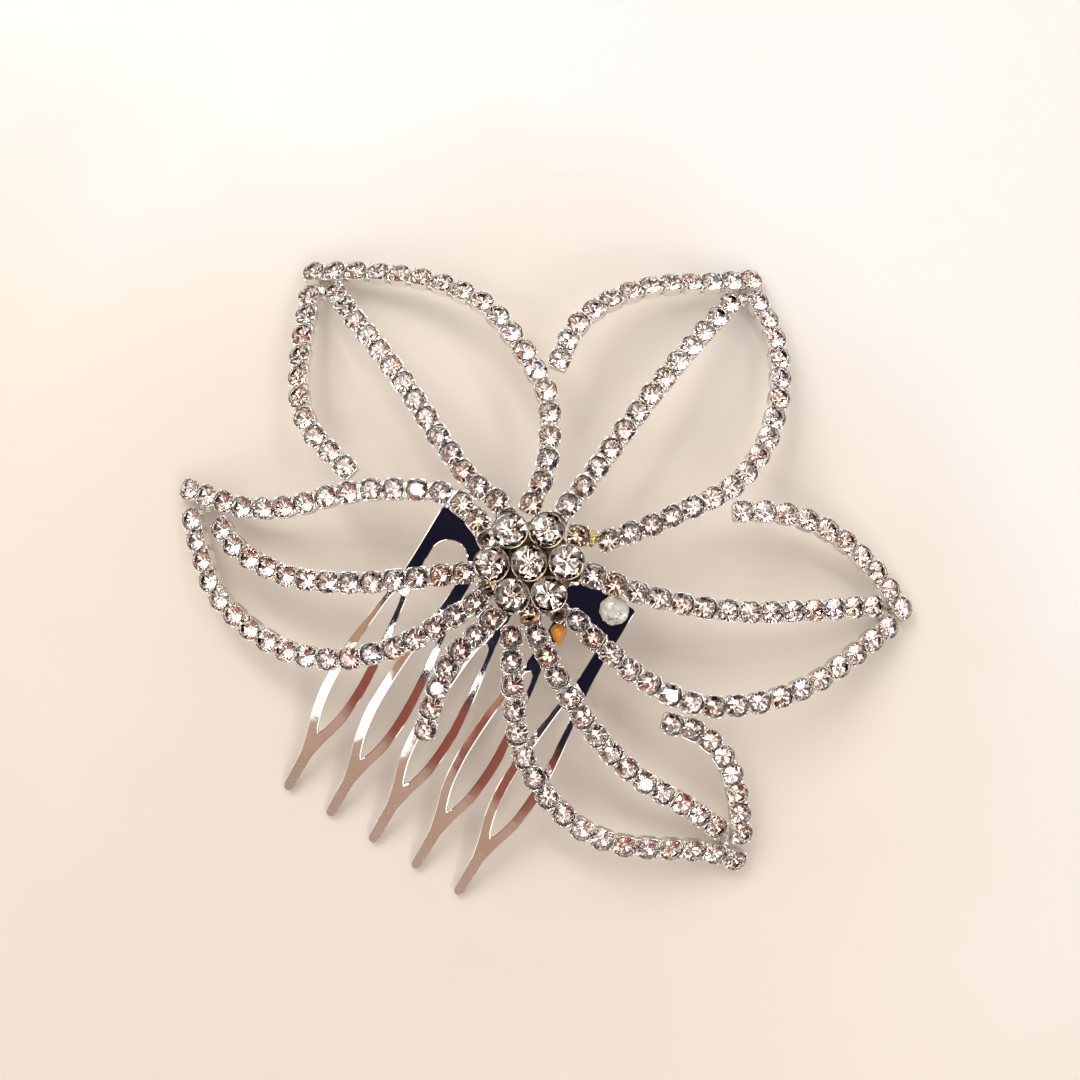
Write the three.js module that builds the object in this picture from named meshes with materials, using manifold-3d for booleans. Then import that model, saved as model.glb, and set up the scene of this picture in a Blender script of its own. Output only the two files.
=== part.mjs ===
// A slide-in hair comb that carries a five-petal rhinestone flower.
//
// The flower is made of rigid cup chain: strips of small square metal cups, one crystal in each, soldered
// together where they meet. Seven larger round stones in bezel cups sit on the ends of the strips at its
// heart. The flower is domed, so its petal tips and the tips of the comb's teeth all rest on one plane.
// Millimetres, +Z up.
// X runs across the comb, and the teeth point along -Y.
import * as THREE from 'three';
import { mergeVertices } from 'three/addons/utils/BufferGeometryUtils.js';
import Module from 'manifold-3d';

// ---- driving dimensions --------------------------------------------------------------------------------
const GAP = 0.06; // clearance between pieces that touch on the real object

// the dome that every strip lies on, measured at the underside of the cups
const HUB_Z = 13.6; // at the middle of the flower
const DOME_DROP = 13; // from the middle down to a petal's tip
const DOME_POWER = 2.4; // 2 is a parabola, more is flatter in the middle

// cup chain
const PITCH = 3.5; // from stone to stone
const CUP_WIDTH = 3.3;
const CUP_FOOT = 2.9; // width at the underside
const CUP_HEIGHT = 1.9;
const CUP_FLOOR = 0.45; // bottom of the groove that holds the stones
const CUP_NOTCH = 0.2; // how much narrower each side is between two cups
const STONE_WIDTH = 2.9;
const STONE_TABLE = 1.7; // width of the flat top facet
const STONE_CULET = 0.75; // heights above the underside of the cup
const STONE_GIRDLE = 1.95;
const STONE_TOP = 2.45;
const WEB = 0.35; // half width of the web that joins neighbouring stones
const LEAN_RAMP = 12; // length over which a strip turns from upright to its full lean

// the large stones: one in the middle, the others round it
const CLUSTER_STONES = 7;
const CLUSTER_PITCH = 5.52;
const CLUSTER_RISE = STONE_TOP + 2 * GAP; // the bezels stand on the stones at the strips' ends
const CLUSTER_TURN = 33; // degrees from +X to the first outer stone
const BEZEL_TOP = 2.7; // radii
const BEZEL_FOOT = 2.1;
const BEZEL_HEIGHT = 3.0;
const BEZEL_WALL = 0.22;
const BEZEL_FLOOR = 0.6;
const GEM_RADIUS = 2.42;
const GEM_TABLE = 1.4;
const GEM_CULET = 0.95; // heights above the foot of the bezel
const GEM_GIRDLE = BEZEL_HEIGHT + 0.05;
const GEM_EDGE = 0.25; // thickness of the girdle
const GEM_TOP = 3.85;
const ROUND_SIDES = 16;

// the comb
const TEETH = 5;
const TOOTH_PITCH = 7.75;
const COMB_X = 0.55; // middle of the comb
const SHEET = 0.8; // thickness of the plate
const BAR_TOP_Y = 2.7;
const BAR_Z = HUB_Z - 0.8; // top face of the bar
const BAR_HALF = 16.6;
const BAR_CORNER = 0.6;
const ARCH_TOP_Y = -2.5; // round end of the gap between two teeth
const STEM_HALF = 1.0; // half width of a tooth where it leaves the bar
const TIP_Y = -48.4;
const TIP_HALF = 0.84;
const BEND_START_Y = -3.5; // the bar is flat, and the teeth curve down from here
const BEND_DROP = 12.3;
const BEND_POWER = 1.65;
const BEND_STEPS = 14;
// half widths of a tooth, outside and inside its eye, at heights along it
const TOOTH_SIDE = [
  [1.0, -5.4], [1.12, -10.5], [1.85, -16], [2.85, -23], [3.2, -29], [2.75, -34.5], [1.55, -39], [0.9, -42]];
const EYE_SIDE = [[0.55, -13.8], [0.95, -16], [1.52, -23], [1.72, -29], [1.3, -34], [0.4, -37.4]];
const EYE_TOP = -13.3;
const EYE_BOTTOM = -38.0;

// ---- routes of the strips: middle of the underside, seen from above, measured from the flower's middle -
// lean turns a strip about its own line, in degrees, so that its stones face left of the way it runs.
const STRIPS = [
  { name: 'petal_1_long_edge', reach: 58.7, lean: 10, route: [
    [-53.8, 23], [-47.5, 26.2], [-41, 28.9], [-34, 30.8], [-27, 31], [-20.6, 28.8], [-15.2, 26],
    [-11.4, 23.4], [-9.3, 20.6], [-7.4, 17.5], [-5.8, 14.2], [-4.9, 11.2], [-4.5, 8]] },
  { name: 'petal_1_short_edge', reach: 58.7, lean: -8, route: [
    [-52, 19.2], [-49.4, 13.8], [-46.2, 8], [-43, 3.6], [-39.5, 1], [-35.5, -0.5], [-31.6, -1.5]] },
  { name: 'petal_1_vein', reach: 58.7, lean: 0, route: [
    [-48.6, 21.6], [-45, 20], [-36, 16.4], [-29.8, 13.6], [-23.8, 10.7], [-18, 8], [-13.5, 6.2], [-9, 5.6],
    [-6.2, 4.2]] },
  { name: 'petal_2_long_edge', reach: 58.1, lean: -12, route: [
    [5.8, 57.6], [0.1, 52.7], [-5.9, 48], [-10.4, 42.3], [-13, 35.5], [-12.4, 29.4]] },
  { name: 'petal_2_short_edge', reach: 58.1, lean: 2, route: [
    [8.4, 54.9], [13.6, 51], [17.9, 44.8], [20.3, 37.8], [20.7, 30.8], [19.2, 25], [16.4, 20.6],
    [12.1, 14.2], [8.1, 9.3]] },
  { name: 'petal_2_vein', reach: 58.1, lean: -8, route: [
    [5, 51.9], [4, 45], [3.1, 38], [2.3, 31], [1.8, 24.5], [1.2, 17.2], [0.3, 10.3],
    [-0.1, 7.2]] },
  { name: 'petal_3_long_edge', reach: 54.5, lean: 0, route: [
    [-51.9, -16.2], [-47.6, -15.6], [-40.8, -13.8], [-35.4, -10.4], [-30.6, -5.8], [-26.2, -2.4],
    [-21, 0.6], [-17.3, 2.4], [-13.6, 2.7], [-9.8, 1.6], [-7, 0.1]] },
  { name: 'petal_3_short_edge', reach: 54.5, lean: -2, route: [
    [-49, -20], [-44.4, -24.1], [-39.4, -27.6], [-31.8, -29.5], [-24.4, -29.3], [-17.8, -26.8],
    [-12.2, -22.2], [-8.1, -16.6], [-4.9, -10.8], [-3.8, -8.4], [-3.5, -5.6]] },
  { name: 'petal_3_vein', reach: 54.5, lean: 0, route: [
    [-43.7, -18.9], [-40.2, -20.2], [-33, -20.3], [-26.5, -18.4], [-20.1, -15.1], [-14.4, -11],
    [-7.7, -6.1]] },
  { name: 'petal_4_long_edge', reach: 58, lean: 5, route: [
    [23.1, 23.8], [29.1, 27.2], [36, 28.6], [42.6, 28.1], [48, 26.6], [52, 25]] },
  { name: 'petal_4_short_edge', reach: 58, lean: 0, route: [
    [51.5, 21.2], [49, 14.8], [46, 8.2], [41.7, 2.4], [37.4, -1.4], [33.6, -3.8], [29.6, -5.2],
    [24.3, -5.7], [18.7, -5.2], [14, -4.4], [9.3, -3.4], [6.8, -3.7]] },
  { name: 'petal_4_vein', reach: 58, lean: 0, route: [
    [47.8, 22.6], [42.7, 18.9], [36.6, 14.5], [31, 10.9], [25, 8], [18, 5.5], [12.8, 4.3], [8.7, 3.7],
    [5.7, 2.5]] },
  { name: 'petal_5_short_edge', reach: 54, lean: 2, route: [
    [30.2, -9], [34, -8], [38, -8.6], [41.3, -10.2], [44.6, -13.2], [48, -17.4]] },
  { name: 'petal_5_long_edge', reach: 54, lean: 2, route: [
    [49.3, -21.2], [45, -22.4], [39.3, -25.2], [33, -28.2], [27.2, -29.2], [20.8, -28], [15.3, -25.4],
    [12, -22.8], [9, -19.2], [6.1, -15], [3.2, -10.5]] },
  { name: 'petal_5_vein', reach: 54, lean: 0, route: [
    [44, -18.6], [37.8, -18.2], [31.6, -18.4], [25.8, -17.6], [19.8, -15.7], [13.9, -13], [9.6, -10.4],
    [6.2, -8.3], [3.8, -6.2]] },
  { name: 'stem_tail', reach: 57, lean: 0, route: [
    [-0.7, -9.8], [-1.1, -12.1], [-2.2, -15.4], [-2.6, -18.8], [-2.2, -22.4], [-1.6, -25.4], [-0.6, -28.6]] },
];
const LONE_CUP = { at: [3.9, 7.55], toward: [8.3, 10.1], reach: 58.1 };
// where three strips meet at a petal's tip, and the solder pad under them
const TIP_PADS = [
  { name: 'petal_1_tip_solder', at: [-51.6, 21.4], reach: 58.1 },
  { name: 'petal_2_tip_solder', at: [6.4, 54.9], reach: 58.1 },
  { name: 'petal_3_tip_solder', at: [-49.2, -17.3], reach: 54.5 },
  { name: 'petal_4_tip_solder', at: [50.8, 23], reach: 58 },
  { name: 'petal_5_tip_solder', at: [47.2, -20], reach: 54 },
];
const TIP_PAD_RADIUS = 2.4;
const TIP_PAD_HEIGHT = 0.5;
const HUB_PAD_RADIUS = 6.8; // the pad between the bar and the strips
const HUB_PAD_HEIGHT = HUB_Z - BAR_Z - 3 * GAP;
const HUB_CORE_RADIUS = 4; // the core between the strips' ends, up to the bezels
const HUB_CORE_HEIGHT = HUB_Z - BAR_Z + CLUSTER_RISE - 3 * GAP;
const BRASS_LINK = { at: [5.95, 8.35], radius: 0.45, height: 1.6 }; // joins the single cup to petal 2
const AMBER = { at: [9.1, -6.6], heading: [0.515, -0.857, -0.12], above: 0.6, length: 3.4, radius: 1.1 };
const DAB = { at: [14.3, 0.9], radius: 2.4, height: 0.6 };

// ---- materials -----------------------------------------------------------------------------------------
const metal = (color, roughness) => new THREE.MeshStandardMaterial({ color, roughness, metalness: 1 });
const clear = (color) => new THREE.MeshStandardMaterial({ color, roughness: 0.05, metalness: 0 });
const MATERIALS = {
  cups: () => metal(0xcfccc6, 0.25),
  bezel: () => metal(0xc6bda8, 0.25),
  comb: () => metal(0xb9aea6, 0.12),
  solder: () => metal(0xbdb8ad, 0.4),
  brass: () => metal(0xc9a43c, 0.35),
  crystal: () => clear(0xe9e0da),
  amber: () => clear(0xc8821a),
  glue: () => clear(0xf1efe8),
};

// ---- solids from rings ---------------------------------------------------------------------------------
// A closed body from a list of rings with the same number of points, all turning the same way about the line
// that they follow. extra holds points that fan a quad of the skin, keyed by its ring and point number.
function loft(rings, extra = new Map()) {
  const sides = rings[0].length;
  const points = rings.flat();
  const index = [];
  const at = (ring, i) => ring * sides + (i % sides);
  for (let r = 0; r + 1 < rings.length; r += 1) {
    for (let i = 0; i < sides; i += 1) {
      const [a, b, c, d] = [at(r, i), at(r, i + 1), at(r + 1, i + 1), at(r + 1, i)];
      const middle = extra.get(`${r},${i}`);
      if (middle) {
        const m = points.length;
        points.push(middle);
        index.push(a, b, m, b, c, m, c, d, m, d, a, m);
      } else {
        index.push(a, b, c, a, c, d);
      }
    }
  }
  const last = rings.length - 1;
  const outline = THREE.ShapeUtils.triangulateShape(flat(rings[0]), []);
  for (const [a, b, c] of outline) index.push(at(0, a), at(0, c), at(0, b));
  for (const [a, b, c] of THREE.ShapeUtils.triangulateShape(flat(rings[last]), [])) {
    index.push(at(last, a), at(last, b), at(last, c));
  }
  const geometry = new THREE.BufferGeometry();
  geometry.setAttribute('position', new THREE.Float32BufferAttribute(points.flatMap((p) => p.toArray()), 3));
  geometry.setIndex(index);
  return facingOut(geometry);
}

// A planar ring as 2-D points, turning as its ring does.
function flat(ring) {
  const u = ring[1].clone().sub(ring[0]).normalize();
  const normal = new THREE.Vector3();
  for (let i = 0; i < ring.length; i += 1) normal.add(ring[i].clone().cross(ring[(i + 1) % ring.length]));
  const v = normal.normalize().clone().cross(u);
  return ring.map((p) => new THREE.Vector2(p.dot(u), p.dot(v)));
}

function facingOut(geometry) {
  const p = geometry.getAttribute('position');
  const index = geometry.getIndex().array;
  const [a, b, c] = [new THREE.Vector3(), new THREE.Vector3(), new THREE.Vector3()];
  let volume = 0;
  for (let i = 0; i < index.length; i += 3) {
    a.fromBufferAttribute(p, index[i]);
    b.fromBufferAttribute(p, index[i + 1]);
    c.fromBufferAttribute(p, index[i + 2]);
    volume += a.dot(b.cross(c));
  }
  if (volume < 0) {
    for (let i = 0; i < index.length; i += 3) [index[i], index[i + 1]] = [index[i + 1], index[i]];
  }
  return geometry;
}

// ---- the dome and the strips on it ---------------------------------------------------------------------
function onDome(x, y, reach) {
  const r = Math.hypot(x, y);
  const slope = (DOME_POWER * DOME_DROP * (r / reach) ** (DOME_POWER - 1)) / reach;
  return {
    point: new THREE.Vector3(x, y, HUB_Z - DOME_DROP * (r / reach) ** DOME_POWER),
    normal: new THREE.Vector3(r ? (slope * x) / r : 0, r ? (slope * y) / r : 0, 1).normalize(),
  };
}

// Frames along a strip. place(distance) takes the distance from the strip's first end.
function strip({ route, reach, lean }) {
  const plan = route.map(([x, y]) => new THREE.Vector3(x, y, 0));
  const curve = new THREE.CatmullRomCurve3(plan, false, 'centripetal');
  const samples = curve.getPoints(600).map((p) => onDome(p.x, p.y, reach).point);
  const along = [0];
  for (let i = 1; i < samples.length; i += 1) {
    along.push(along[i - 1] + samples[i].distanceTo(samples[i - 1]));
  }
  const span = along[along.length - 1];
  const count = Math.round(span / PITCH) + 1;
  const pitch = span / (count - 1);
  const length = span + pitch;
  const pointAt = (distance) => {
    const s = THREE.MathUtils.clamp(distance, 0, span);
    let i = along.findIndex((a) => a >= s);
    i = Math.max(1, i);
    const share = (s - along[i - 1]) / (along[i] - along[i - 1]);
    const p = samples[i - 1].clone().lerp(samples[i], share);
    if (distance === s) return p;
    const [last, before] = distance < 0 ? [samples[0], samples[1]] : samples.slice(-2).reverse();
    const out = last.clone().sub(before).normalize();
    return p.addScaledVector(out, Math.abs(distance - s));
  };
  const place = (distance) => {
    const d = distance - pitch / 2;
    const point = pointAt(d);
    const run = pointAt(d + 0.4).sub(pointAt(d - 0.4)).normalize();
    const up = onDome(point.x, point.y, reach).normal;
    up.addScaledVector(run, -up.dot(run)).normalize();
    const near = Math.min(distance, length - distance);
    const turn = THREE.MathUtils.degToRad(lean) * THREE.MathUtils.smoothstep(near, pitch, pitch + LEAN_RAMP);
    up.applyAxisAngle(run, -turn);
    return { point, up, side: up.clone().cross(run) };
  };
  return { count, pitch, length, place };
}

// A ring across a strip: section is a list of [across, height].
function ringAt({ point, up, side }, section) {
  return section.map(([a, height]) => point.clone().addScaledVector(side, a).addScaledVector(up, height));
}

function cupSection(inset) {
  const [foot, top] = [CUP_FOOT / 2 - inset, CUP_WIDTH / 2 - inset];
  return [[-foot, 0], [foot, 0], [top, CUP_HEIGHT - inset], [0, CUP_FLOOR], [-top, CUP_HEIGHT - inset]];
}

// One body of square cups in a row, with a V groove for the stones and a notch between neighbours.
function cupRow({ count, pitch, length, place }) {
  const rings = [ringAt(place(0), cupSection(0))];
  for (let i = 0; i < count; i += 1) {
    rings.push(ringAt(place((i + 0.5) * pitch), cupSection(0)));
    if (i + 1 < count) rings.push(ringAt(place((i + 1) * pitch), cupSection(CUP_NOTCH)));
  }
  rings.push(ringAt(place(length), cupSection(0)));
  return loft(rings);
}

const STONE_SECTION = [[0, STONE_CULET], [STONE_WIDTH / 2, STONE_GIRDLE], [STONE_TABLE / 2, STONE_TOP],
  [-STONE_TABLE / 2, STONE_TOP], [-STONE_WIDTH / 2, STONE_GIRDLE]];
const WEB_SECTION = [[0, STONE_GIRDLE - WEB], [WEB, STONE_GIRDLE], [WEB * 0.6, STONE_GIRDLE + 0.2],
  [-WEB * 0.6, STONE_GIRDLE + 0.2], [-WEB, STONE_GIRDLE]];
const TABLE_SIDE = 2; // the side of STONE_SECTION that is the flat top

// The stones of a strip: faceted stones whose girdles meet in a small web, each with a point in the middle of
// its flat top.
function stoneRow({ count, pitch, length, place }) {
  const half = STONE_TABLE / 2;
  const rings = [ringAt(place(pitch * 0.08), WEB_SECTION)];
  const middles = new Map();
  for (let i = 0; i < count; i += 1) {
    const centre = (i + 0.5) * pitch;
    middles.set(`${rings.length},${TABLE_SIDE}`, ringAt(place(centre), [[0, STONE_TOP]])[0]);
    rings.push(ringAt(place(centre - half), STONE_SECTION), ringAt(place(centre + half), STONE_SECTION));
    if (i + 1 < count) rings.push(ringAt(place((i + 1) * pitch), WEB_SECTION));
  }
  rings.push(ringAt(place(length - pitch * 0.08), WEB_SECTION));
  return loft(rings, middles);
}

// ---- turned pieces: profiles of [radius, height], from the axis round to the axis ----------------------
function turned(profile, sides = ROUND_SIDES) {
  const lathe = new THREE.LatheGeometry(profile.map(([r, z]) => new THREE.Vector2(r, z)), sides);
  lathe.rotateX(Math.PI / 2);
  lathe.deleteAttribute('normal');
  lathe.deleteAttribute('uv');
  return facingOut(mergeVertices(lathe, 1e-4));
}

const bezelCup = () => turned([[0, 0], [BEZEL_FOOT, 0], [BEZEL_TOP, BEZEL_HEIGHT],
  [BEZEL_TOP - BEZEL_WALL, BEZEL_HEIGHT], [BEZEL_TOP - BEZEL_WALL, BEZEL_HEIGHT - 0.35], [0, BEZEL_FLOOR]]);
const largeStone = () => turned([[0, GEM_CULET], [GEM_RADIUS, GEM_GIRDLE - GEM_EDGE],
  [GEM_RADIUS, GEM_GIRDLE], [GEM_TABLE, GEM_TOP], [0, GEM_TOP]]);
const pad = (radius, height) => turned([[0, 0], [radius * 0.75, 0], [radius, height * 0.5],
  [radius * 0.85, height], [0, height]]);

// ---- the comb ------------------------------------------------------------------------------------------
const wasm = await Module();
wasm.setup();

function solidOf(geometry) {
  const bare = geometry.clone();
  bare.deleteAttribute('normal');
  bare.deleteAttribute('uv');
  const merged = mergeVertices(bare, 1e-4);
  return new wasm.Manifold(new wasm.Mesh({
    numProp: 3,
    vertProperties: new Float32Array(merged.getAttribute('position').array),
    triVerts: new Uint32Array(merged.getIndex().array),
  }));
}

function geometryOf(solid) {
  const mesh = solid.getMesh();
  const geometry = new THREE.BufferGeometry();
  geometry.setAttribute('position', new THREE.BufferAttribute(mesh.vertProperties, 3));
  geometry.setIndex(new THREE.BufferAttribute(mesh.triVerts, 1));
  return geometry;
}

const vector = ([x, y]) => new THREE.Vector2(x, y);
const smooth = (points, steps) => new THREE.SplineCurve(points.map(vector)).getPoints(steps);
const mirrored = (points) => points.map((p) => new THREE.Vector2(-p.x, p.y)).reverse();
const shifted = (points, x) => points.map((p) => new THREE.Vector2(p.x + x, p.y));
const toothX = (i) => COMB_X + (i - (TEETH - 1) / 2) * TOOTH_PITCH;

// One tooth's outline, clockwise from its right side at the bar, round the tip, to its left side.
function toothOutline() {
  const right = smooth(TOOTH_SIDE, 14);
  const tip = [];
  for (let k = 0; k <= 6; k += 1) {
    const a = (Math.PI * k) / 6;
    tip.push(new THREE.Vector2(TIP_HALF * Math.cos(a), TIP_Y + TIP_HALF - TIP_HALF * Math.sin(a)));
  }
  return [...right, ...tip, ...mirrored(right)];
}

// The eye of a tooth, counter-clockwise.
function eyeOutline() {
  const right = smooth(EYE_SIDE, 12);
  const [top, bottom] = [[0, EYE_TOP], [0, EYE_BOTTOM]].map(vector);
  return [top, ...right, bottom, ...mirrored(right)].reverse();
}

// The arch between tooth i and tooth i + 1, from left to right.
function arch(i) {
  const radius = TOOTH_PITCH / 2 - STEM_HALF;
  const middle = (toothX(i) + toothX(i + 1)) / 2;
  const points = [];
  for (let k = 1; k < 8; k += 1) {
    const a = Math.PI - (Math.PI * k) / 8;
    points.push(new THREE.Vector2(middle + radius * Math.cos(a), ARCH_TOP_Y - radius + radius * Math.sin(a)));
  }
  return points;
}

const bendZ = (y) => {
  const share = Math.max(0, BEND_START_Y - y) / (BEND_START_Y - TIP_Y);
  return BAR_Z - BEND_DROP * share ** BEND_POWER;
};

function combGeometry() {
  const outline = [
    [COMB_X - BAR_HALF, BAR_TOP_Y - BAR_CORNER], [COMB_X - BAR_HALF + BAR_CORNER, BAR_TOP_Y],
    [COMB_X + BAR_HALF - BAR_CORNER, BAR_TOP_Y], [COMB_X + BAR_HALF, BAR_TOP_Y - BAR_CORNER],
  ].map(vector);
  for (let i = TEETH - 1; i >= 0; i -= 1) {
    outline.push(...shifted(toothOutline(), toothX(i)));
    if (i > 0) outline.push(...arch(i - 1).reverse());
  }
  const shape = new THREE.Shape(outline);
  for (let i = 0; i < TEETH; i += 1) shape.holes.push(new THREE.Path(shifted(eyeOutline(), toothX(i))));
  const plan = new THREE.ExtrudeGeometry(shape, { depth: 40, bevelEnabled: false });
  plan.translate(0, 0, -15);

  const ys = [BAR_TOP_Y + 2, BEND_START_Y];
  const step = (TIP_Y - 0.5 - BEND_START_Y) / BEND_STEPS;
  for (let k = 1; k <= BEND_STEPS; k += 1) ys.push(BEND_START_Y + step * k);
  const top = ys.map((y) => new THREE.Vector2(y, bendZ(y)));
  const bottom = ys.map((y) => new THREE.Vector2(y, bendZ(y) - SHEET)).reverse();
  const profile = new THREE.Shape([...top, ...bottom]);
  const sheet = new THREE.ExtrudeGeometry(profile, { depth: 60, bevelEnabled: false });
  // the profile's first axis becomes Y, its second Z, and the extrusion runs along X
  sheet.applyMatrix4(new THREE.Matrix4().set(0, 0, 1, -30, 1, 0, 0, 0, 0, 1, 0, 0, 0, 0, 0, 1));
  return geometryOf(solidOf(plan).intersect(solidOf(sheet)));
}

// ---- assembly ------------------------------------------------------------------------------------------
const flower = new THREE.Group();

function add(name, geometry, material, place = {}) {
  const mesh = new THREE.Mesh(geometry, MATERIALS[material]());
  mesh.name = name;
  if (place.position) mesh.position.copy(place.position);
  if (place.up) mesh.quaternion.setFromUnitVectors(new THREE.Vector3(0, 0, 1), place.up);
  flower.add(mesh);
  return mesh;
}

add('comb', combGeometry(), 'comb');
{
  const [r, core] = [HUB_PAD_RADIUS, HUB_CORE_RADIUS];
  const hub = turned([[0, 0], [r * 0.75, 0], [r, HUB_PAD_HEIGHT * 0.5], [r * 0.85, HUB_PAD_HEIGHT],
    [core, HUB_PAD_HEIGHT + 0.1], [core * 0.85, HUB_CORE_HEIGHT], [0, HUB_CORE_HEIGHT]]);
  add('hub_solder', hub, 'solder', { position: new THREE.Vector3(0, 0, BAR_Z + GAP) });
}

for (const definition of STRIPS) {
  const made = strip(definition);
  add(`${definition.name}_cups`, cupRow(made), 'cups');
  add(`${definition.name}_stones`, stoneRow(made), 'crystal');
}

// the single cup at the foot of petal 2: the first cup of a strip two cups long
{
  const from = new THREE.Vector2(...LONE_CUP.at);
  const to = from.clone().addScaledVector(new THREE.Vector2(...LONE_CUP.toward).sub(from).normalize(), PITCH);
  const pair = strip({ route: [from.toArray(), to.toArray()], reach: LONE_CUP.reach, lean: 0 });
  const single = { ...pair, count: 1, length: pair.pitch };
  add('hub_cup', cupRow(single), 'cups');
  add('hub_cup_stone', stoneRow(single), 'crystal');
}
add('brass_link', pad(BRASS_LINK.radius, BRASS_LINK.height), 'brass', {
  position: new THREE.Vector3(...BRASS_LINK.at, HUB_Z),
});

for (let i = 0; i < CLUSTER_STONES; i += 1) {
  const angle = THREE.MathUtils.degToRad(CLUSTER_TURN + (360 / (CLUSTER_STONES - 1)) * (i - 1));
  const out = i === 0 ? 0 : CLUSTER_PITCH;
  const foot = HUB_Z + CLUSTER_RISE - GAP;
  const position = new THREE.Vector3(out * Math.cos(angle), out * Math.sin(angle), foot);
  add(`centre_bezel_${i + 1}`, bezelCup(), 'bezel', { position });
  add(`centre_stone_${i + 1}`, largeStone(), 'crystal', { position });
}

for (const { name, at, reach } of TIP_PADS) {
  const { point, normal } = onDome(...at, reach);
  const position = point.clone().addScaledVector(normal, -TIP_PAD_HEIGHT - GAP);
  add(name, pad(TIP_PAD_RADIUS, TIP_PAD_HEIGHT), 'solder', { position, up: normal });
}

{
  const r = AMBER.radius;
  const drop = turned([[0, 0], [r * 0.7, r * 0.3], [r, r], [r * 0.85, r * 1.7], [r * 0.4, AMBER.length * 0.8],
    [0, AMBER.length]]);
  const heading = new THREE.Vector3(...AMBER.heading).normalize();
  const middle = new THREE.Vector3(...AMBER.at, HUB_Z + AMBER.above);
  const position = middle.addScaledVector(heading, -AMBER.length / 2);
  add('amber_drop', drop, 'amber', { position, up: heading });
}
{
  const { at, radius, height } = DAB;
  const side = [[radius, 0], [radius * 0.85, height * 0.6], [radius * 0.45, height]];
  const dab = turned([[0, 0], ...side, [0, height]]);
  add('clear_dab', dab, 'glue', { position: new THREE.Vector3(...at, BAR_Z + GAP) });
}

// the origin is under the middle of the object's box, on the plane that it rests on
const box = new THREE.Box3().setFromObject(flower, true);
const middle = box.getCenter(new THREE.Vector3());
flower.position.set(-middle.x, -middle.y, -box.min.z);

export default flower;
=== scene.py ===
"""A slide-in hair comb with a rhinestone flower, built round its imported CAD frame.

Every crystal and cup stands where the frame's own rows have a stone. Each stone there has a point in the
middle of its flat top, and that point with its normal gives the seat of one detailed cup and crystal.
"""

import math
import random

import bmesh
import bpy
import numpy as np
from mathutils import Matrix, Vector, noise


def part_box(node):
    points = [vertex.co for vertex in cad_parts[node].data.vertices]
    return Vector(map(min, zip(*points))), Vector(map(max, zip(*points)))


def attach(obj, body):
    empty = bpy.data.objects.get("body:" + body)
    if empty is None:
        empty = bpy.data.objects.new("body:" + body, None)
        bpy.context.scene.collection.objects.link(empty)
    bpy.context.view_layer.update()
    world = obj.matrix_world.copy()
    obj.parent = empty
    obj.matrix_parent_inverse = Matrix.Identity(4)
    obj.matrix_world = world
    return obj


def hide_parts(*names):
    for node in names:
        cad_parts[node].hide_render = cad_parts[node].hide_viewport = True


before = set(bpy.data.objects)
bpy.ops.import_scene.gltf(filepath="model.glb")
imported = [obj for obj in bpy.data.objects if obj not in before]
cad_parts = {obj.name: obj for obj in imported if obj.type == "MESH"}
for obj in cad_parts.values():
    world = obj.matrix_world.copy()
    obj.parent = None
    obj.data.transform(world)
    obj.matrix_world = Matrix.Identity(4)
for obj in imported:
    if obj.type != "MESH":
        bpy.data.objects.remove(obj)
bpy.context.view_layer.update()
MM = 0.001


# ---- sizes of the small parts, in millimetres ----------------------------------------------------------
TABLE_ABOVE_CUP = 2.45  # from the underside of a small cup to the flat top of its crystal
TABLE_ABOVE_BEZEL = 3.85  # the same for a large round setting
NEIGHBOUR = 5.0  # stones nearer than this are neighbours in a row
SAME_POINT = 0.002  # points nearer than this are one point
FLAT_COSINE = 0.985  # faces whose normals agree better than this make one flat top

CUP_HALF_RUN = 1.68  # half a cup along its row
CUP_HALF_SIDE = 1.66
CUP_WALL_TOP = 1.66
PRONG_RISE = 0.66
PRONG_POWER = 2.2  # the higher, the narrower the prongs
CORNER_POWER = 0.36  # how square a cup is: 0 is square, 1 is round
LINK_CORNER_POWER = 0.3
LINK_POINTS = 16
CUP_POINTS = 40  # round each ring of a cup

LINK_HALF_SIDE = 1.30
LINK_HALF_HEIGHT = 0.48
LINK_MIDDLE = 0.80  # height of a link's middle above the underside of the cups
LINK_OVERLAP = 0.3  # how far a link runs into each of its cups

CRYSTAL_RADIUS = 1.71
CRYSTAL_TABLE = 0.95
GIRDLE_HEIGHT = 1.86
CULET_HEIGHT = 0.55

BEZEL_RADIUS = 2.73
BEZEL_HEIGHT = 3.08
GEM_RADIUS = 2.53
GEM_TABLE = 1.45
GEM_GIRDLE = 3.02
GEM_TOP = 3.34
GEM_CULET = 2.16

HAND_SHIFT = 0.03  # how far a cup or a stone may sit from its place
STONE_TILT = 2.5  # degrees

CRYSTAL_SIDES = 8
EDGE_SHARE = 0.03  # half a stone's edge, as a share of its radius
RAY_FOLD = 0.2  # how far every second ray of a large stone's back is folded down at its edge
RAY_OUTER = 0.95  # where the rays end and start, as shares of the stone's radius
RAY_INNER = 0.26


def middle_of(node):
    """The middle of a node's box, in metres."""
    return sum(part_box(node), Vector()) / 2


HUB = tuple(middle_of("centre_stone_1"))  # the flower's middle


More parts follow.
